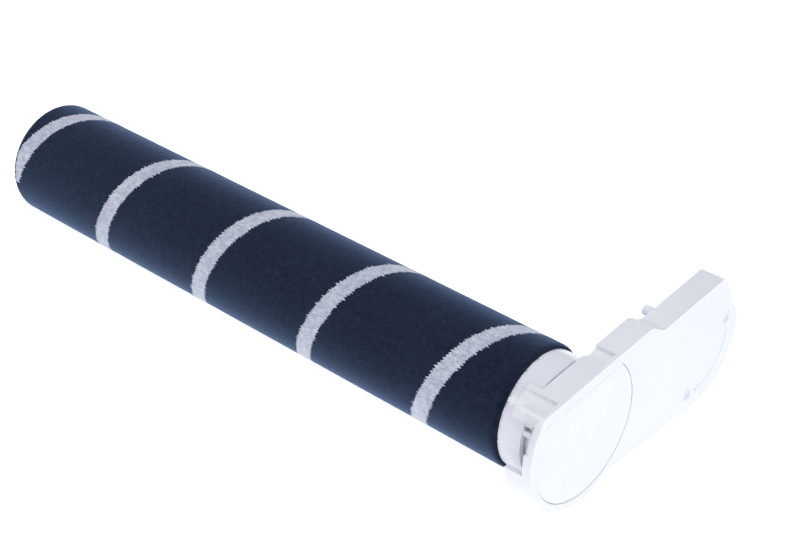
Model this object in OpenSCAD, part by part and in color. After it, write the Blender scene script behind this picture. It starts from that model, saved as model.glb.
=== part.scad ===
// Plush brush roller of a vacuum floor head, with the side end cover it spins in.
// X runs along the roller axis, from the drive socket's mouth (x = 0) to the cover's outer face.
// Y points to the rear of the cover and Z is up. The roller axis is y = 0, z = 0. Lengths in mm.
// "u" is the distance inwards from the cover's outer face, so u = face_x - x.

/* [Roller] */
// Diameter over the tips of the pile
pile_d = 40; // [36:0.5:56]
// Length of the pile sleeve
pile_l = 220; // [140:1:360]
// Height of the pile above its woven backing
pile_h = 3.2; // [2:0.1:5]
// Thickness of the woven backing
backing_t = 1.0; // [0.6:0.1:2]
// Wall of the core tube
tube_t = 1.5; // [1:0.1:2.5]

/* [Stripe] */
// Advance of the pale stripe in one turn
stripe_pitch = 48.2; // [30:0.1:90]
// Width of the pale stripe along the axis
stripe_w = 7.8; // [4:0.1:14]
// Angle of the stripe's middle at the drive end, from +Y towards +Z
stripe_phase = 177; // [0:1:359]
// How far the pale pile stands above the dark pile
stripe_rise = 0.4; // [0.2:0.05:0.8]

/* [End cover] */
// Radius of the cover's round front end, about the roller axis
front_r = 25.2; // [22:0.1:34]
// Height of the cover's flat top above the axis
top_z = 17.7; // [15:0.1:24]
// Height of the lower rear part of the top
rear_z = 12.95; // [9:0.05:16]
// Distance from the axis to the middle of the rear round
rear_y = 56; // [50:0.5:90]
// Drop of the rear round's middle below the axis
rear_drop = 6; // [3:0.1:10]
// Radius of the rear round
rear_r = 21.9; // [18:0.1:30]
// Depth of the top and rear walls, inwards from the outer face
wall_d = 8.6; // [6:0.1:14]
// Depth of the guard wall under the roller
guard_d = 9.3; // [6:0.1:15]
// Thickness of the walls
wall_t = 1.6; // [1.2:0.1:2.4]
// Thickness of the face plate
plate_t = 1.5; // [1.2:0.1:2.5]
// Width of the full-height lip left between the notches and the outer face
notch_lip = 1.35; // [0.8:0.05:2.5]
// Radius of the round trim panel
panel_r = 22.45; // [18:0.05:30]
// Height of the trim panel's straight top edge above the axis
panel_z = 13.7; // [10:0.1:18]

/* [Collar and bearing] */
// Radius of the collar between cover and pile
collar_r = 18.86; // [16:0.02:26]
// Visible length of the collar
collar_l = 8.4; // [5:0.1:16]
// Radius of the axle pin
pin_r = 4; // [3:0.5:5]
// Outer radius of the ball bearing
bearing_r = 11; // [8:0.5:13]
// Width of the ball bearing
bearing_w = 7; // [5:0.5:9]
// Number of balls
ball_count = 7; // [6:1:9]

/* [Drive end] */
// Radius of the drive socket's round mouth
socket_r = 4.5; // [3:0.1:6]
// Depth of the drive socket
socket_l = 16; // [10:0.5:22]
// Depth of the plain round lead-in before the flutes
lead_l = 6; // [3:0.5:10]
// Number of flutes in the socket
flute_count = 6; // [4:1:8]

/* [Locating pin] */
// Radius of the locating pin on the inner side
peg_r = 1.7; // [1.2:0.05:3]
// Free length of the locating pin
peg_l = 2.3; // [1.5:0.1:5]
// Distance of the locating pin behind the axis
peg_y = 43.4; // [40:0.1:52]

/* [Hidden] */
$fn = 96;
eps = 0.01;
fit = 0.05;
run_gap = 0.3;
pile_r = pile_d / 2;
dark_r = pile_r - stripe_rise;
backing_r = pile_r - pile_h;
tube_r = backing_r - backing_t - fit;
bore_r = tube_r - tube_t;
collar_end = wall_d + collar_l;
face_x = pile_l + collar_end + run_gap;
peg_z = rear_z - 0.65;
panel_t = 0.9;
panel_u = 0.1;
floor_u = panel_u + panel_t;
back_u = floor_u + 1.6;
web_t = 2;
spigot_gap = 0.5;
hub_r = 7.5;
hub_u0 = back_u + 2.4;
hub_u1 = collar_end + 2;
seal_t = 1.2;
flange_u = collar_end + run_gap + 1.2;
flange_t = 2;
brg_u0 = flange_u + 3;
brg_u1 = brg_u0 + bearing_w;
ball_rad = bearing_w * 0.283;
race_mid = (pin_r + bearing_r) / 2;
shoulder = (bearing_r - pin_r) * 0.27;
pin_u0 = hub_u0 + 1.6;
pin_u1 = brg_u1 + 3.2;
plug_u1 = brg_u1 + 12;
screw_at = 11;
screw_r = 1.5;
head_r = 2.7;
head_t = 1.7;
pillar_u = back_u + 2.2;
guard_from = 180;
guard_to = 292;
window_from = 137;
bottom_z0 = -21.74 * front_r / 25.2;
bottom_y1 = rear_y - 4;
bottom_z1 = -rear_drop - sqrt(rear_r * rear_r - 16) + 0.03;
notch_y = [16.4, -10.3];
notch_run = 6.7;
notch_drop = 1.65;
slope_y = 31;
slope_run = 8.5;
back_top_y = rear_y + 14.4;
back_mid_y = rear_y + 15.6;
side_y = rear_y + 21.6;
side_z = -rear_drop + 1.2;
insert_r = 8;
insert_l = socket_l + 2;
drive_l = 24;

// Which sub-part to show

// Helpers that lay shapes along the roller axis.

// Solid round bar between two distances from the outer face.
module bar_u(r, u0, u1) {
    translate([face_x - u1, 0, 0]) rotate([0, 90, 0]) cylinder(r = r, h = u1 - u0);
}

// Ring between two distances from the outer face.
module ring_u(r_out, r_in, u0, u1) {
    difference() {
        bar_u(r_out, u0, u1);
        bar_u(r_in, u0 - 1, u1 + 1);
    }
}

// Round bar and ring between two x positions.
module bar_x(r, x0, x1) {
    translate([x0, 0, 0]) rotate([0, 90, 0]) cylinder(r = r, h = x1 - x0);
}

module ring_x(r_out, r_in, x0, x1) {
    difference() {
        bar_x(r_out, x0, x1);
        bar_x(r_in, x0 - 1, x1 + 1);
    }
}

// Flat shape drawn in (y, z), extruded between two distances from the outer face.
module flat_u(u0, u1) {
    translate([face_x - u1, 0, 0])
        rotate([90, 0, 90]) linear_extrude(height = u1 - u0) children();
}

// Wedge from angle a0 to a1 about the axis, for cutting sectors, less than 180 degrees wide.
module wedge_u(a0, a1, u0, u1) {
    far = 2 * front_r;
    mid = (a0 + a1) / 2;
    flat_u(u0, u1)
        polygon([[0, 0], [far * cos(a0), far * sin(a0)], [far * 1.6 * cos(mid), far * 1.6 * sin(mid)],
            [far * cos(a1), far * sin(a1)]]);
}

// Point number i of 0..n on the soft step between the two top heights.
function slope_pt(i, n, inset) =
    [slope_y + slope_run * i / n - inset * 0.6 * sin(180 * i / n),
     top_z - inset - (top_z - rear_z) * (1 - cos(180 * i / n)) / 2];

// The cover's outline drawn in by "inset", as a solid between two distances.
module cover_body(inset, u0, u1) {
    // round front end, cut flat on top
    intersection() {
        bar_u(front_r - inset, u0, u1);
        translate([face_x - u1 - 1, -2 * front_r, -2 * front_r])
            cube([u1 - u0 + 2, 4 * front_r, 2 * front_r + top_z - inset]);
    }
    // long middle
    flat_u(u0, u1)
        polygon(concat(
            [[0, top_z - inset]],
            [for (i = [0 : 8]) slope_pt(i, 8, inset)],
            [[back_top_y - 1.4 - inset * 0.5, rear_z - inset]],
            [[back_top_y - 0.3 - inset * 0.6, rear_z - 0.45 - inset]],
            [[back_mid_y - 0.7 - inset * 0.8, rear_z - 1.35 - inset * 0.8]],
            [[back_mid_y - inset, rear_z - 2.8 - inset * 0.4]],
            [[side_y - inset, side_z]],
            [[rear_y, -rear_drop]],
            [[bottom_y1, bottom_z1 + inset]],
            [[0, bottom_z0 + inset]]));
    // rear round
    intersection() {
        translate([0, rear_y, -rear_drop]) bar_u(rear_r - inset, u0, u1);
        flat_u(u0 - 1, u1 + 1)
            polygon([[bottom_y1, -rear_drop - 2 * rear_r], [rear_y + 2 * rear_r, -rear_drop - 2 * rear_r],
                [rear_y + 2 * rear_r, side_z], [side_y - inset, side_z], [rear_y, -rear_drop],
                [bottom_y1, -rear_drop]]);
    }
}

// One saw-tooth notch in the top wall: a sharp step, a small cove and a ramp rising forwards.
module top_notch(y0) {
    flat_u(notch_lip, wall_d + 6)
        polygon(concat(
            [[y0, top_z + 2], [y0, top_z - notch_drop * 0.6]],
            [for (i = [1 : 5]) [y0 - 3.4 * i / 5,
                top_z - notch_drop * (0.6 + 0.4 * sin(90 * i / 5))]],
            [[y0 - notch_run, top_z], [y0 - notch_run, top_z + 2]]));
}

// Round flat disc cut by the straight top edge, used for the panel and its recess.
module panel_disc(r, z_cut, u0, u1) {
    intersection() {
        bar_u(r, u0, u1);
        translate([face_x - u1 - 1, -2 * r, -2 * r]) cube([u1 - u0 + 2, 4 * r, 2 * r + z_cut]);
    }
}

// Copies of a thing on the screw circle about the axis.
module on_screws() {
    for (i = [0 : 2]) rotate([90 + 120 * i, 0, 0]) translate([0, screw_at, 0]) children();
}

// Moulded side end cover: face plate, walls, guard under the roller, ribs and bosses.
module end_cover() {
    color([0.95, 0.95, 0.97])
    difference() {
        union() {
            // face plate
            cover_body(0, 0, plate_t);
            // thicker floor behind the trim panel
            panel_disc(front_r - 0.6, top_z - 0.6, plate_t - eps, back_u);
            // walls around the edge, open at the front for the roller
            difference() {
                union() {
                    difference() {
                        cover_body(0, plate_t - eps, wall_d);
                        cover_body(wall_t, plate_t - 1, wall_d + 1);
                    }
                    // extra depth of the guard wall
                    intersection() {
                        ring_u(front_r, front_r - wall_t, plate_t - eps, guard_d);
                        union() {
                            wedge_u(guard_from, guard_from + 56, plate_t - 1, guard_d + 1);
                            wedge_u(guard_from + 56, guard_to, plate_t - 1, guard_d + 1);
                        }
                    }
                    // solid block under the notched top
                    intersection() {
                        cover_body(eps, plate_t - eps, wall_d);
                        flat_u(plate_t - eps, wall_d)
                            polygon([[-front_r, top_z - 3.4], [slope_y + 1, top_z - 3.4],
                                [slope_y + 1, top_z + 1], [-front_r, top_z + 1]]);
                    }
                }
                // front window
                wedge_u(window_from, 163, plate_t, guard_d + 5);
                wedge_u(163 - eps, guard_from, plate_t + 1.4, guard_d + 5);
            }
            // shroud over the collar
            intersection() {
                ring_u(collar_r + 1.65, collar_r + 0.45, plate_t, wall_d + 4.4);
                wedge_u(112, 146, plate_t - 1, wall_d + 6);
                flat_u(0, wall_d + 6)
                    polygon([[-40, 0], [0, 0], [0, top_z - 0.2], [-40, top_z - 0.2]]);
            }
            // round spigot that the collar is centred on, seen through the front window
            ring_u(collar_r - spigot_gap - 1.7, collar_r - spigot_gap - 2.9, back_u - eps, wall_d + 1);
            // ribs across the rear hollow
            for (y = [slope_y - 3, rear_y - 8, rear_y + 5]) intersection() {
                cover_body(wall_t - 0.2, plate_t - eps, wall_d - 2.4);
                translate([face_x - wall_d, y - 0.6, -2 * front_r]) cube([wall_d, 1.2, 4 * front_r]);
            }
            intersection() {
                cover_body(wall_t - 0.2, plate_t - eps, wall_d - 2.4);
                translate([face_x - wall_d, slope_y - 3, -rear_drop - 0.6]) cube([wall_d, 80, 1.2]);
            }
            // bosses for the collar screws and the middle spigot
            on_screws() bar_u(4.4, back_u - eps, pillar_u);
            bar_u(pin_r - 0.1, back_u - eps, hub_u0 + 1.2);
            // boss and locating pin
            intersection() {
                translate([0, peg_y, peg_z]) bar_u(peg_r + 1.4, plate_t - eps, wall_d);
                cover_body(eps, plate_t - eps, wall_d);
            }
            translate([0, peg_y, peg_z]) bar_u(peg_r, wall_d - eps, wall_d + peg_l);
        }
        top_notch(notch_y[0]);
        top_notch(notch_y[1]);
        // recess of the trim panel
        panel_disc(panel_r + run_gap, panel_z + run_gap, -1, floor_u);
        // screw holes with their counterbores
        on_screws() bar_u(screw_r + 0.15, 0, pillar_u + 1);
        on_screws() bar_u(head_r + 0.25, 0, floor_u + head_t + 0.1);
        // press holes of the trim panel's pegs
        for (i = [0 : 2]) rotate([30 + 120 * i, 0, 0])
            translate([0, 15.5, 0]) bar_u(1.2 + fit, 0, back_u + 1);
    }
}

// Trim panel that hides the collar screws, held by three pegs.
module inset_panel() {
    color([0.97, 0.97, 0.99]) {
        panel_disc(panel_r, panel_z, panel_u, floor_u);
        for (i = [0 : 2]) rotate([30 + 120 * i, 0, 0])
            translate([0, 15.5, 0]) bar_u(1.2, floor_u - eps, back_u + 0.6);
    }
}

// Fixed collar that carries the axle pin and closes the roller's near end.
module bearing_collar() {
    color([0.93, 0.93, 0.96])
    difference() {
        union() {
            ring_u(collar_r, collar_r - 1.7, wall_d + run_gap, collar_end);
            bar_u(collar_r - 0.5, collar_end - web_t, collar_end);
            bar_u(hub_r, hub_u0, hub_u1);
            on_screws() bar_u(3.3, pillar_u, collar_end - eps);
            // ribs from the hub to the skin
            for (i = [0 : 5]) rotate([60 * i, 0, 0])
                translate([face_x - collar_end + 0.5, hub_r - 1, -0.6])
                    cube([collar_l - 2, collar_r - hub_r, 1.2]);
            // small locking lugs on the cover side
            for (a = [148, 157, 270, 30]) intersection() {
                ring_u(collar_r - 0.2, collar_r - 1.7, wall_d - 2.4, wall_d + 1);
                wedge_u(a - 2.4, a + 2.4, wall_d - 4, wall_d + 2);
            }
        }
        bar_u(pin_r + 0.01, hub_u0 - 1, hub_u1 + 1);
        on_screws() bar_u(screw_r + fit, 0, collar_end - 1);
    }
}

// Three pan-head screws that hold the collar to the cover.
module collar_screws() {
    color([0.7, 0.7, 0.72])
    on_screws() difference() {
        union() {
            bar_u(head_r, floor_u, floor_u + head_t);
            bar_u(screw_r, floor_u, collar_end - 2);
        }
        // cross slots
        translate([face_x - floor_u - 0.8, -1.7, -0.3]) cube([2, 3.4, 0.6]);
        translate([face_x - floor_u - 0.8, -0.3, -1.7]) cube([2, 0.6, 3.4]);
    }
}

// Steel axle pin, pressed into the collar's hub.
module axle_pin() {
    color([0.75, 0.76, 0.78])
    difference() {
        bar_u(pin_r, pin_u0, pin_u1);
        ring_u(pin_r + 1, pin_r - 0.8, brg_u1 + 0.4, brg_u1 + 1.5);
    }
}

// Spacer sleeve between the collar's hub and the bearing.
module axle_spacer() {
    color([0.6, 0.6, 0.62])
    ring_u(pin_r + 1.7, pin_r + fit, hub_u1, brg_u0);
}

// Open retaining clip in the pin's groove.
module axle_clip() {
    color([0.5, 0.5, 0.53])
    difference() {
        ring_u(pin_r + 1.9, pin_r - 0.75, brg_u1 + 0.45, brg_u1 + 1.45);
        translate([face_x - brg_u1 - 3, -1.6, 0]) cube([4, 3.2, 10]);
    }
}

// Felt ring that keeps hair out of the bearing.
module felt_seal() {
    color([0.3, 0.3, 0.32])
    ring_u(13, hub_r + run_gap, collar_end, collar_end + seal_t);
}

// Bearing parts. The track is a shallow torus groove in both rings.
module race() {
    translate([face_x - (brg_u0 + brg_u1) / 2, 0, 0]) rotate([0, 90, 0])
        rotate_extrude() translate([race_mid, 0]) circle(r = ball_rad + 0.06);
}

module bearing_inner() {
    color([0.78, 0.79, 0.8])
    difference() {
        ring_u(pin_r + shoulder, pin_r + 0.02, brg_u0, brg_u1);
        race();
    }
}

module bearing_outer() {
    color([0.78, 0.79, 0.8])
    difference() {
        ring_u(bearing_r, bearing_r - shoulder, brg_u0, brg_u1);
        race();
    }
}

module bearing_balls() {
    color([0.85, 0.85, 0.86])
    for (i = [0 : ball_count - 1]) rotate([360 * i / ball_count, 0, 0])
        translate([face_x - (brg_u0 + brg_u1) / 2, race_mid, 0]) sphere(r = ball_rad);
}

module bearing_cage() {
    color([0.6, 0.55, 0.4])
    difference() {
        ring_u(race_mid + 0.5, race_mid - 0.5, (brg_u0 + brg_u1) / 2 - ball_rad - 0.5,
            (brg_u0 + brg_u1) / 2 + ball_rad + 0.5);
        for (i = [0 : ball_count - 1]) rotate([360 * i / ball_count, 0, 0])
            translate([face_x - (brg_u0 + brg_u1) / 2, race_mid + 2, 0])
                rotate([90, 0, 0]) cylinder(r = ball_rad + 0.1, h = 4);
    }
}

module bearing_shields() {
    color([0.65, 0.65, 0.68]) {
        ring_u(bearing_r - shoulder - 0.02, pin_r + shoulder + 0.3, brg_u0 + 0.3, brg_u0 + 0.7);
        ring_u(bearing_r - shoulder - 0.02, pin_r + shoulder + 0.3, brg_u1 - 0.7, brg_u1 - 0.3);
    }
}

// Snap ring that keeps the bearing in the near plug's pocket.
module pocket_ring() {
    color([0.5, 0.5, 0.53])
    difference() {
        ring_u(bearing_r + 0.55, bearing_r - 1.3, brg_u0 - 1.15, brg_u0 - 0.15);
        translate([face_x - brg_u0 - 1, -2, 0]) cube([4, 4, bearing_r + 3]);
    }
}

// Plastic plug in the roller's near end, with the bearing pocket.
module near_plug() {
    color([0.2, 0.22, 0.26])
    difference() {
        union() {
            bar_u(tube_r, flange_u, flange_u + flange_t);
            bar_u(bore_r - fit, flange_u + flange_t - eps, plug_u1);
        }
        bar_u(bearing_r + 0.02, flange_u - 1, brg_u1);
        bar_u(bearing_r - 2.4, brg_u1 - 1, plug_u1 + 1);
        ring_u(bearing_r + 0.7, bearing_r - 1, brg_u0 - 1.25, brg_u0 - 0.05);
    }
}

// Aluminium core tube.
module core_tube() {
    color([0.72, 0.73, 0.75])
    ring_x(tube_r, bore_r, flange_t, face_x - flange_u - flange_t);
}

// Woven backing of the pile, glued on the tube.
module woven_backing() {
    color([0.12, 0.14, 0.2])
    ring_x(backing_r - fit, backing_r - backing_t, 1, pile_l - 1);
}

// Dark velvet pile.
module dark_pile() {
    color([0.07, 0.09, 0.16])
    ring_x(dark_r, backing_r, 0, pile_l);
}

// Pale pile stripe that winds along the whole roller.
module pale_stripe() {
    sweep = 360 * stripe_w / stripe_pitch;
    step = sweep / 5;
    r_in = dark_r / cos(step / 2) + 0.03;
    color([0.82, 0.82, 0.9])
    rotate([0, 90, 0])
        linear_extrude(height = pile_l, twist = 360 * pile_l / stripe_pitch,
            slices = round(360 * pile_l / stripe_pitch / step), convexity = 8,
            segments = 12, $fn = 0)
            rotate(stripe_phase + 90)
                polygon(concat(
                    [for (i = [0 : 5]) [pile_r * cos(step * (i - 2.5)), pile_r * sin(step * (i - 2.5))]],
                    [for (i = [5 : -1 : 0]) [r_in * cos(step * (i - 2.5)), r_in * sin(step * (i - 2.5))]]));
}

// Plastic plug in the drive end of the tube.
module drive_plug() {
    color([0.2, 0.22, 0.26])
    difference() {
        union() {
            bar_x(tube_r, 0, flange_t);
            bar_x(bore_r - fit, flange_t - eps, drive_l);
        }
        bar_x(insert_r + fit, -1, insert_l);
        // weight-saving pockets between the ribs
        difference() {
            ring_x(bore_r - 1.6, insert_r + 1.6, -1, drive_l - 8);
            for (i = [0 : 5]) rotate([60 * i, 0, 0])
                translate([-2, 0, -0.7]) cube([drive_l, bore_r, 1.4]);
        }
    }
}

// Hard socket insert that the motor's drive dog plugs into.
module drive_insert() {
    color([0.55, 0.57, 0.6])
    difference() {
        bar_x(insert_r, 0, insert_l);
        bar_x(socket_r, -1, socket_l);
        for (i = [0 : flute_count - 1]) rotate([360 * i / flute_count, 0, 0])
            translate([lead_l, 0, -0.8]) cube([socket_l - lead_l, socket_r + 1.6, 1.6]);
    }
}

end_cover();
inset_panel();
bearing_collar();
collar_screws();
axle_pin();
axle_spacer();
axle_clip();
felt_seal();
bearing_inner();
bearing_outer();
bearing_balls();
bearing_cage();
bearing_shields();
pocket_ring();
near_plug();
core_tube();
woven_backing();
dark_pile();
pale_stripe();
drive_plug();
drive_insert();
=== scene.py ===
import math
import random
import bmesh
import bpy
from mathutils import Matrix, Vector


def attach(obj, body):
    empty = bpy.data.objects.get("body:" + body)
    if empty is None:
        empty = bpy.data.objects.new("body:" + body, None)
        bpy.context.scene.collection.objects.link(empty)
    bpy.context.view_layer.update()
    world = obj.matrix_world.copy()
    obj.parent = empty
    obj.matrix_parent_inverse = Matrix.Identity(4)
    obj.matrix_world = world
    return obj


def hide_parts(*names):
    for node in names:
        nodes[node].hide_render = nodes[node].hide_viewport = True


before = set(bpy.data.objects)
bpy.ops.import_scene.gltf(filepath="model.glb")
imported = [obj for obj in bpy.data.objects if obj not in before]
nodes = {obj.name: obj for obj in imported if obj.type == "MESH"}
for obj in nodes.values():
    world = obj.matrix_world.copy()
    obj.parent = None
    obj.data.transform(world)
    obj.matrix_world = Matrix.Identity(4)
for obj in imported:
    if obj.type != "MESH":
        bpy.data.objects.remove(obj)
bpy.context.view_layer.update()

# The studio: a white table that the part lies on, a white room and soft boxes. The table is
# tipped a little, because the part rests on the cover's two rounds and the roller's far end.

MM = 0.001
FACE_X = 237.3 * MM
table_up = Vector((0.0223713, 0.04832989, 0.99858087))
table_spot = Vector((0.12, 0.0, -0.0229))


def node_tree(owner):
    """An owner's emptied node tree."""
    owner.use_nodes = True
    owner.node_tree.nodes.clear()
    return owner.node_tree


def add_node(tree, kind, **inputs):
    """A node with its inputs given by name, as values or as sockets to link from."""
    n = tree.nodes.new(kind)
    for name, value in inputs.items():
        socket = n.inputs[int(name[1:])] if name[0] == "_" else n.inputs[name.replace("_", " ")]
        if isinstance(value, bpy.types.NodeSocket):
            tree.links.new(value, socket)
        else:
            socket.default_value = value
    return n


def math_node(tree, operation, a, b=0.0, clamp=False):
    n = add_node(tree, "ShaderNodeMath", _0=a, _1=b)
    n.operation = operation
    n.use_clamp = clamp
    return n.outputs[0]


def seen_directly(tree):
    """1 for rays from the camera, in mirrors and through glass."""
    path = tree.nodes.new("ShaderNodeLightPath")
    seen = math_node(tree, "ADD", path.outputs["Is Camera Ray"], path.outputs["Is Glossy Ray"])
    return math_node(tree, "ADD", seen, path.outputs["Is Transmission Ray"], clamp=True)


bm = bmesh.new()
bmesh.ops.create_grid(bm, x_segments=8, y_segments=8, size=2.2)
tip = table_up.to_track_quat("Z", "Y").to_matrix().to_4x4()
bmesh.ops.transform(bm, matrix=Matrix.Translation(table_spot) @ tip, verts=bm.verts)
mesh = bpy.data.meshes.new("white_table")
bm.to_mesh(mesh)
bm.free()
white_table = bpy.data.objects.new("white_table", mesh)
bpy.context.scene.collection.objects.link(white_table)
paint = bpy.data.materials.new("white_table")
tree = node_tree(paint)
matt = add_node(tree, "ShaderNodeBsdfPrincipled", Base_Color=(0.9, 0.91, 0.93, 1), Roughness=0.9)
glow = add_node(tree, "ShaderNodeEmission", Color=(1, 1, 1, 1), Strength=0.8)
seen = seen_directly(tree)
shine = add_node(tree, "ShaderNodeEmission", Color=(0.96, 0.98, 1, 1), Strength=0.42)
lift = add_node(tree, "ShaderNodeMixShader", _0=seen, _1=shine.outputs[0], _2=glow.outputs[0])
both = add_node(tree, "ShaderNodeAddShader", _0=matt.outputs[0], _1=lift.outputs[0])
add_node(tree, "ShaderNodeOutputMaterial", Surface=both.outputs[0])
mesh.materials.append(paint)

world = bpy.data.worlds.new("white_room")
bpy.context.scene.world = world
tree = node_tree(world)
room = add_node(tree, "ShaderNodeBackground", Color=(0.915, 0.945, 1.0, 1), Strength=0.38)
wall = add_node(tree, "ShaderNodeBackground", Color=(1, 1, 1, 1), Strength=1.0)
path = tree.nodes.new("ShaderNodeLightPath")
mix = add_node(tree, "ShaderNodeMixShader", _0=path.outputs["Is Camera Ray"],
               _1=room.outputs[0], _2=wall.outputs[0])
add_node(tree, "ShaderNodeOutputWorld", Surface=mix.outputs[0])


def soft_box(name, place, aim, width, height, power, colour=(1, 1, 1)):
    """A rectangular studio lamp that faces a point."""
    lamp = bpy.data.lights.new(name, "AREA")
    lamp.shape = "RECTANGLE"
    lamp.size, lamp.size_y, lamp.energy, lamp.color = width, height, power, colour
    holder = bpy.data.objects.new(name, lamp)
    bpy.context.scene.collection.objects.link(holder)
    holder.location = place
    holder.rotation_euler = (Vector(place) - Vector(aim)).to_track_quat("Z", "Y").to_euler()
    return holder


middle = (0.16, 0.01, 0.0)
soft_box("side_box", (1.25, -0.35, 0.45), middle, 0.9, 0.9, 3.6)
soft_box("front_box", (-0.35, -0.85, 0.72), middle, 0.8, 0.22, 2.6)
soft_box("top_box", (0.25, 0.45, 1.1), middle, 0.8, 0.8, 5.2, (0.95, 0.97, 1.0))

camera = bpy.data.objects.new("camera", bpy.data.cameras.new("camera"))
bpy.context.scene.collection.objects.link(camera)
camera.data.sensor_width = 36.0
camera.data.lens = 81.314
camera.data.clip_start = 0.01
camera.data.clip_end = 20.0
camera.location = (0.470932, -0.305865, 0.352099)
camera.rotation_euler = (0.920606, 0.06238, 0.733225)
bpy.context.scene.camera = camera
bpy.context.scene.view_settings.view_transform = "Standard"


# Materials that several pieces share: a fine moulded skin for the plastics and a pile effect for
# the velvet, which paints shade between the fibres. Each is a group that gives colours and heights,
# set in each material.

def effect_group(name, inputs, outputs):
    """A new shader node group with float or colour sockets."""
    group = bpy.data.node_groups.new(name, "ShaderNodeTree")
    for label, kind, value in inputs:
        socket = group.interface.new_socket(label, in_out="INPUT", socket_type=kind)
        socket.default_value = value
    for label, kind in outputs:
        group.interface.new_socket(label, in_out="OUTPUT", socket_type=kind)
    return group, group.nodes.new("NodeGroupInput"), group.nodes.new("NodeGroupOutput")


COLOUR, NUMBER = "NodeSocketColor", "NodeSocketFloat"
moulded_skin, skin_in, skin_out = effect_group(
    "moulded_skin",
    [("Colour", COLOUR, (0.8, 0.8, 0.8, 1)), ("Roughness", NUMBER, 0.3), ("Grain", NUMBER, 2500.0)],
    [("Colour", COLOUR), ("Roughness", NUMBER), ("Height", NUMBER)])
place = moulded_skin.nodes.new("ShaderNodeTexCoord").outputs["Object"]
cloud = add_node(moulded_skin, "ShaderNodeTexNoise", Vector=place, Scale=38.0, Detail=3.0)
grain = add_node(moulded_skin, "ShaderNodeTexNoise", Vector=place,
                 Scale=skin_in.outputs["Grain"], Detail=2.0)
shade = add_node(moulded_skin, "ShaderNodeMapRange", Value=cloud.outputs[0],
                 From_Min=0.3, From_Max=0.7, To_Min=0.975, To_Max=1.015)
tone = add_node(moulded_skin, "ShaderNodeVectorMath", _0=skin_in.outputs["Colour"])
tone.operation = "SCALE"
moulded_skin.links.new(shade.outputs[0], tone.inputs["Scale"])
wear = add_node(moulded_skin, "ShaderNodeMapRange", Value=cloud.outputs[0],
                From_Min=0.3, From_Max=0.7, To_Min=-0.03, To_Max=0.04)
rough = math_node(moulded_skin, "ADD", skin_in.outputs["Roughness"], wear.outputs[0])
moulded_skin.links.new(tone.outputs[0], skin_out.inputs["Colour"])
moulded_skin.links.new(rough, skin_out.inputs["Roughness"])
moulded_skin.links.new(grain.outputs[0], skin_out.inputs["Height"])

pile_effect, pile_in, pile_out = effect_group(
    "pile_effect",
    [("Shaded_Root", COLOUR, (0, 0, 0, 1)), ("Lit_Tip", COLOUR, (1, 1, 1, 1)), ("Fibre", NUMBER, 1500.0)],
    [("Colour", COLOUR), ("Height", NUMBER)])
place = pile_effect.nodes.new("ShaderNodeTexCoord").outputs["Object"]
lie = add_node(pile_effect, "ShaderNodeMapping", Vector=place, Scale=(0.4, 1.0, 1.0))
fibre = add_node(pile_effect, "ShaderNodeTexNoise", Vector=lie.outputs[0],
                 Scale=pile_in.outputs["Fibre"], Detail=4.0, Roughness=0.65)
tuft = add_node(pile_effect, "ShaderNodeTexNoise", Vector=place, Scale=420.0, Detail=2.0)
sweep = add_node(pile_effect, "ShaderNodeTexNoise", Vector=place, Scale=45.0, Detail=2.0)
mixed = math_node(pile_effect, "MULTIPLY", fibre.outputs[0], 0.62)
for noise, share in ((tuft, 0.26), (sweep, 0.12)):
    part = math_node(pile_effect, "MULTIPLY", noise.outputs[0], share)
    mixed = math_node(pile_effect, "ADD", mixed, part)
spread = add_node(pile_effect, "ShaderNodeMapRange", Value=mixed,
                  From_Min=0.36, From_Max=0.64, To_Min=0.0, To_Max=1.0)
# The fibre noise blends the painted shade colour at the roots into the lit colour at the tips.
blend_colour = add_node(pile_effect, "ShaderNodeMix")
blend_colour.data_type = "RGBA"
pile_effect.links.new(spread.outputs[0], blend_colour.inputs[0])
pile_effect.links.new(pile_in.outputs["Shaded_Root"], blend_colour.inputs[6])
pile_effect.links.new(pile_in.outputs["Lit_Tip"], blend_colour.inputs[7])
pile_effect.links.new(blend_colour.outputs[2], pile_out.inputs["Colour"])
pile_effect.links.new(mixed, pile_out.inputs["Height"])


def principled(tree, group_node, bump, distance, **settings):
    """The material's own shader, fed by an effect group."""
    relief = add_node(tree, "ShaderNodeBump", Strength=bump, Distance=distance,
                      Height=group_node.outputs["Height"])
    shader = add_node(tree, "ShaderNodeBsdfPrincipled", Base_Color=group_node.outputs["Colour"],
                      Normal=relief.outputs[0], **settings)
    add_node(tree, "ShaderNodeOutputMaterial", Surface=shader.outputs[0])
    return shader


def plastic(name, colour, roughness, grain=2500.0, bump=0.04, **settings):
    """A moulded plastic, or a metal when Metallic is given."""
    material = bpy.data.materials.new(name)
    tree = node_tree(material)
    skin = tree.nodes.new("ShaderNodeGroup")
    skin.node_tree = moulded_skin
    skin.inputs["Colour"].default_value = (*colour, 1)
    skin.inputs["Roughness"].default_value = roughness
    skin.inputs["Grain"].default_value = grain
    shader = principled(tree, skin, bump, 0.00005, **settings)
    tree.links.new(skin.outputs["Roughness"], shader.inputs["Roughness"])
    return material


def velvet(name, root, tip, fibre=1500.0, bump=0.5, **settings):
    """A cut pile with painted shade between its fibres: darker there than on their lit tips."""
    material = bpy.data.materials.new(name)
    tree = node_tree(material)
    pile = tree.nodes.new("ShaderNodeGroup")
    pile.node_tree = pile_effect
    pile.inputs["Shaded_Root"].default_value = (*root, 1)
    pile.inputs["Lit_Tip"].default_value = (*tip, 1)
    pile.inputs["Fibre"].default_value = fibre
    principled(tree, pile, bump, 0.0004, Roughness=0.95, Specular_IOR_Level=0.06, **settings)
    return material


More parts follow.
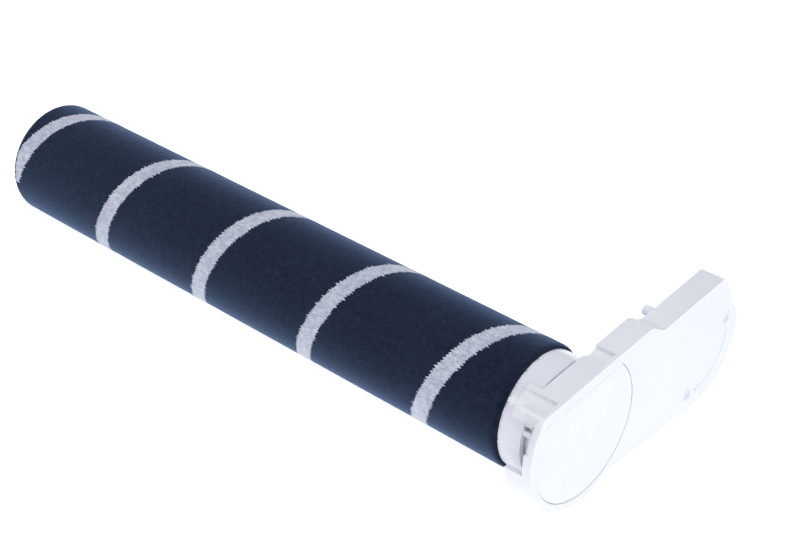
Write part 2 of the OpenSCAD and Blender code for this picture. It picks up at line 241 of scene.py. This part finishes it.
def finish_piece(name, bm, material, body, smooth_below=40.0):
    """A mesh object from a bmesh, smooth except over sharp edges, riding on a body."""
    for face in bm.faces:
        face.smooth = True
    limit = math.radians(smooth_below)
    for edge in bm.edges:
        edge.smooth = edge.calc_face_angle(0.0) < limit
    mesh = bpy.data.meshes.new(name)
    bm.to_mesh(mesh)
    bm.free()
    mesh.materials.append(material)
    piece = bpy.data.objects.new(name, mesh)
    bpy.context.scene.collection.objects.link(piece)
    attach(piece, body)
    return piece


def refinish(material, *names):
    """A carried-over CAD node gets a finished material."""
    for n in names:
        nodes[n].data.materials.clear()
        nodes[n].data.materials.append(material)


# Core of the roller: an aluminium tube with a dark plastic plug pressed in each end and a
# cloth backing glued round it. The far plug holds the hard socket for the drive dog.

refinish(plastic("tube_aluminium", (0.66, 0.67, 0.69), 0.3, 900.0, 0.1, Metallic=1.0), "core_tube")
refinish(plastic("dark_nylon", (0.028, 0.032, 0.04), 0.48, 3200.0, 0.12), "drive_plug", "near_plug")
refinish(plastic("grey_acetal", (0.2, 0.21, 0.24), 0.36, 3000.0, 0.08), "drive_insert")
refinish(velvet("backing_cloth", (0.008, 0.011, 0.022), (0.03, 0.036, 0.06), 2600.0),
         "woven_backing")

# Ball bearing, axle pin and their clips inside the near end, all of steel, and the felt ring.

refinish(plastic("bearing_steel", (0.62, 0.63, 0.64), 0.16, 1500.0, 0.03, Metallic=1.0),
         "bearing_inner", "bearing_outer", "bearing_balls", "axle_pin")
refinish(plastic("pressed_steel", (0.5, 0.5, 0.5), 0.34, 1200.0, 0.08, Metallic=1.0),
         "bearing_cage", "bearing_shields", "axle_spacer")
refinish(plastic("spring_steel", (0.16, 0.16, 0.17), 0.38, 1200.0, 0.08, Metallic=1.0),
         "axle_clip", "pocket_ring")
refinish(plastic("zinc_screw", (0.6, 0.61, 0.62), 0.26, 1600.0, 0.08, Metallic=1.0),
         "collar_screws")
refinish(velvet("felt_ring", (0.03, 0.03, 0.033), (0.1, 0.1, 0.11), 1800.0), "felt_seal")

# Dark velvet sleeve of the roller: cut nylon pile on a woven tube. It rounds over at both
# ends, where the pile fans out past the backing.

PILE_R = 20.0 * MM
PILE_L = 220.0 * MM
FAR_ROUND, FAR_DROP = 1.7 * MM, 1.25 * MM
NEAR_ROUND, NEAR_DROP = 1.9 * MM, 1.0 * MM
# Root colour: painted shade between the fibres. Tip colour: the lit fibre ends.
navy_velvet = velvet("navy_velvet", (0.005, 0.008, 0.018), (0.016, 0.024, 0.048),
                     Sheen_Weight=0.9, Sheen_Roughness=0.44, Sheen_Tint=(0.29, 0.42, 0.72, 1))
chance = random.Random(11)


def end_round(i, count, reach, drop):
    """Point i of a quarter round at a sleeve's end: distance from the end, radius."""
    a = math.radians(90.0 * i / count)
    return reach * (1 - math.sin(a)), PILE_R - drop * (1 - math.cos(a))


bm = bmesh.new()
profile = [(0.9 * MM, 16.85 * MM), (0.4 * MM, 17.4 * MM), (0.12 * MM, 18.1 * MM)]
profile += [end_round(i, 5, FAR_ROUND, FAR_DROP) for i in range(5, -1, -1)]
RINGS = 236
for i in range(1, RINGS):
    profile.append((FAR_ROUND + (PILE_L - NEAR_ROUND - FAR_ROUND) * i / RINGS, PILE_R))
for i in range(7):
    back, r = end_round(i, 6, NEAR_ROUND, NEAR_DROP)
    profile.append((PILE_L - back, r))
profile += [(PILE_L - 0.15 * MM, 18.0 * MM), (PILE_L - 0.9 * MM, 16.85 * MM)]
line = [bm.verts.new((x, 0.0, r)) for x, r in profile]
edges = [bm.edges.new(pair) for pair in zip(line, line[1:])]
bmesh.ops.spin(bm, geom=line + edges, cent=(0, 0, 0), axis=(1, 0, 0),
               angle=math.tau, steps=240, use_merge=True)
bmesh.ops.remove_doubles(bm, verts=bm.verts, dist=1e-7)
bmesh.ops.recalc_face_normals(bm, faces=bm.faces)
for v in bm.verts:
    push = 0.035 * MM * (chance.random() - 0.5)
    v.co.y *= 1 + push / PILE_R
    v.co.z *= 1 + push / PILE_R
navy_pile = finish_piece("navy_pile", bm, navy_velvet, "roller", 80.0)
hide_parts("dark_pile")

# Pale stripe: undyed pile woven into the same sleeve, winding along it. Its edges are ragged,
# because whole tufts are either pale or dark.

PITCH = 48.2 * MM
STRIPE_W = 7.5 * MM
STRIPE_START = math.radians(177.0)
pale_velvet = velvet("pale_velvet", (0.37, 0.39, 0.5), (0.73, 0.76, 0.86), 1300.0, 0.6,
                     Sheen_Weight=1.0, Sheen_Roughness=0.45, Sheen_Tint=(0.9, 0.95, 1.0, 1))
ACROSS = 9
STEP = 0.26 * MM
TURNS = PILE_L / PITCH
STATIONS = int(TURNS * math.hypot(math.tau * PILE_R, PITCH) / STEP)


def ragged_edge(count, seed):
    """Tooth depths along one edge: whole tufts about a millimetre wide that stick out or not."""
    draw = random.Random(seed)
    depths = []
    while len(depths) < count:
        width = draw.choice((3, 4, 4, 5))
        deep = draw.uniform(0.8, 2.3) * MM
        for k in range(width):
            depths.append(deep * (1 - abs(2 * (k + 0.5) / width - 1)) - 0.65 * MM)
    return depths


edge_teeth = (ragged_edge(STATIONS + 1, 5), ragged_edge(STATIONS + 1, 6))
bm = bmesh.new()
bmesh.ops.create_grid(bm, x_segments=ACROSS, y_segments=STATIONS, size=0.5)
for v in bm.verts:
    t, way = v.co.x + 0.5, v.co.y + 0.5
    station = round(way * STATIONS)
    turn = STRIPE_START - math.tau * TURNS * way
    teeth = edge_teeth[t > 0.5][min(station, STATIONS)]
    pull = abs(2 * t - 1) ** 2 * (1 if t > 0.5 else -1)
    x = PILE_L * way + STRIPE_W * (t - 0.5) + teeth * pull
    x = min(max(x, 0.15 * MM), PILE_L - 0.25 * MM)
    end_gap = min(x, PILE_L - x)
    r = PILE_R + 0.05 * MM + 0.05 * MM * (chance.random() - 0.5)
    r -= FAR_DROP * max(0.0, 1 - end_gap / FAR_ROUND) ** 2
    if abs(2 * t - 1) > 0.99:
        r -= 0.35 * MM
    v.co = (x, r * math.cos(turn), r * math.sin(turn))
bmesh.ops.recalc_face_normals(bm, faces=bm.faces)
pale_stripe = finish_piece("pale_pile", bm, pale_velvet, "roller", 80.0)
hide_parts("pale_stripe")

# Fringe: at the near end the longest fibres of the sleeve fold over the collar's edge.

fringe_velvet = velvet("fringe_velvet", (0.012, 0.017, 0.034), (0.05, 0.07, 0.125),
                       Sheen_Weight=0.6, Sheen_Roughness=0.4, Sheen_Tint=(0.35, 0.48, 0.8, 1))
bm = bmesh.new()
FIBRES = 520
for i in range(FIBRES):
    turn = math.tau * (i + 0.7 * chance.random()) / FIBRES
    root = Vector((PILE_L - chance.uniform(1.3, 2.3) * MM, 0.0, chance.uniform(18.9, 19.7) * MM))
    tip_at = Vector((PILE_L + chance.uniform(0.0, 1.1) * MM, chance.uniform(-0.4, 0.4) * MM,
                     chance.uniform(19.0, 19.5) * MM))
    lean = tip_at - root
    pose = Matrix.Rotation(turn, 4, "X") @ Matrix.Translation((root + tip_at) / 2)
    pose = pose @ lean.to_track_quat("Z", "Y").to_matrix().to_4x4()
    bmesh.ops.create_cone(bm, segments=4, radius1=0.13 * MM, radius2=0.03 * MM,
                          depth=lean.length, cap_ends=True, matrix=pose)
fringe = finish_piece("pile_fringe", bm, fringe_velvet, "roller", 80.0)

# Fixed collar: a glossy white ring that carries the axle and covers the roller's open end.

MOULDED_EDGE = 0.18 * MM
PANEL_EDGE = 0.2 * MM


def merged_copy(node):
    """A merged copy of a CAD node's mesh, for a piece with moulded edges."""
    bm = bmesh.new()
    bm.from_mesh(nodes[node].data)
    bmesh.ops.remove_doubles(bm, verts=bm.verts, dist=2e-6)
    bmesh.ops.dissolve_limit(bm, angle_limit=math.radians(0.5), verts=bm.verts, edges=bm.edges)
    return bm


def round_edges(piece, width):
    """Small rounded edges, as a mould leaves them."""
    bevel = piece.modifiers.new("moulded_edges", "BEVEL")
    bevel.limit_method = "ANGLE"
    bevel.angle_limit = math.radians(38)
    bevel.width = width
    bevel.segments = 2
    bevel.harden_normals = True


gloss_white = plastic("gloss_white", (0.86, 0.87, 0.935), 0.16, 2500.0, 0.02)
satin_white = plastic("satin_white", (0.9, 0.91, 0.96), 0.3, 2500.0, 0.03)
panel_white = plastic("panel_white", (0.905, 0.918, 0.955), 0.28, 2500.0, 0.03)

collar = finish_piece("collar_ring", merged_copy("bearing_collar"), gloss_white,
                      "cover")
round_edges(collar, MOULDED_EDGE)
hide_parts("bearing_collar")

# Side end cover: an injection-moulded shell with a guard under the roller, ribs and bosses.

cover = finish_piece("side_cover", merged_copy("end_cover"), satin_white,
                     "cover")
round_edges(cover, MOULDED_EDGE)
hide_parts("end_cover")

# Trim panel: a thin round cap set flush in the cover's face over the screws.

bm = merged_copy("inset_panel")
bmesh.ops.scale(bm, vec=(1, 1.007, 1.007), verts=bm.verts)
panel = finish_piece("trim_panel", bm, panel_white, "cover")
round_edges(panel, PANEL_EDGE)
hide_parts("inset_panel")

# Lock marks: pale print on the cover's face. An arc ends in a dot and runs between a closed
# padlock under it and an open one behind it.

ink = plastic("pale_ink", (0.7, 0.735, 0.84), 0.45, 3000.0, 0.02)
INK_T = 0.03 * MM
REAR_MID = (56.0 * MM, -6.0 * MM)
ARC_R = 16.0 * MM
DOT_R = 0.6 * MM
LINE_W = 0.45 * MM
HOOP_W = 0.42 * MM


def ink_band(bm, mid, radius, width, start, end, steps):
    """A curved band of print about a point of the face, from one angle to another."""
    turn = Matrix.Rotation(math.radians(start), 4, "X")
    middle_of_arc = Vector((FACE_X, mid[0], mid[1]))
    corners = []
    for lift, out in ((0.0, -0.5), (INK_T, -0.5), (INK_T, 0.5), (0.0, 0.5)):
        corners.append(bm.verts.new(middle_of_arc + turn @ Vector((lift, radius + out * width, 0))))
    loop = [bm.edges.new((corners[i], corners[(i + 1) % 4])) for i in range(4)]
    cap = [bm.faces.new(corners)]
    bmesh.ops.spin(bm, geom=corners + loop + cap, cent=middle_of_arc, axis=(1, 0, 0),
                   angle=math.radians(end - start), steps=steps)


def ink_plate(bm, mid, wide, high):
    """A flat rectangle of print with rounded corners."""
    pose = Matrix.Translation((FACE_X + INK_T / 2, mid[0], mid[1]))
    pose = pose @ Matrix.Diagonal((INK_T, wide, high, 1))
    made = bmesh.ops.create_cube(bm, size=1.0, matrix=pose)
    upright = [e for e in {e for v in made["verts"] for e in v.link_edges}
               if abs((e.verts[0].co - e.verts[1].co).x) > INK_T / 2]
    bmesh.ops.bevel(bm, geom=upright, offset=0.35 * MM, segments=3, profile=0.5,
                    affect="EDGES", material=-1)


def padlock(bm, y, z, wide, high, shackle_y, lift):
    """A small padlock: a plate with a hoop over it."""
    ink_plate(bm, (y, z), wide, high)
    hoop_z = z + high / 2 + lift
    ink_band(bm, (y + shackle_y, hoop_z), wide * 0.3, HOOP_W, 0.0, 180.0, 10)
    for side in (-1, 1):
        leg = lift if side * shackle_y <= 0 else lift * 0.4
        leg_y = y + shackle_y + side * wide * 0.3
        pose = Matrix.Translation((FACE_X + INK_T / 2, leg_y, hoop_z - leg / 2))
        pose = pose @ Matrix.Diagonal((INK_T, HOOP_W, leg + 0.1 * MM, 1))
        bmesh.ops.create_cube(bm, size=1.0, matrix=pose)


bm = bmesh.new()
ink_band(bm, REAR_MID, ARC_R, LINE_W, -87.0, -5.0, 40)
dot = math.radians(-91.0)
dot_at = (FACE_X + INK_T / 2, REAR_MID[0] + ARC_R * math.cos(dot),
          REAR_MID[1] + ARC_R * math.sin(dot))
bmesh.ops.create_cone(bm, segments=20, radius1=DOT_R, radius2=DOT_R, depth=INK_T,
                      cap_ends=True,
                      matrix=Matrix.Translation(dot_at) @ Matrix.Rotation(math.pi / 2, 4, "Y"))
padlock(bm, 51.6 * MM, -22.0 * MM, 3.0 * MM, 2.3 * MM, 0.0, 0.5 * MM)
padlock(bm, 71.4 * MM, -4.0 * MM, 2.8 * MM, 2.2 * MM, 0.9 * MM, 0.7 * MM)
bmesh.ops.recalc_face_normals(bm, faces=bm.faces)
marks = finish_piece("lock_marks", bm, ink, "cover", 30.0)
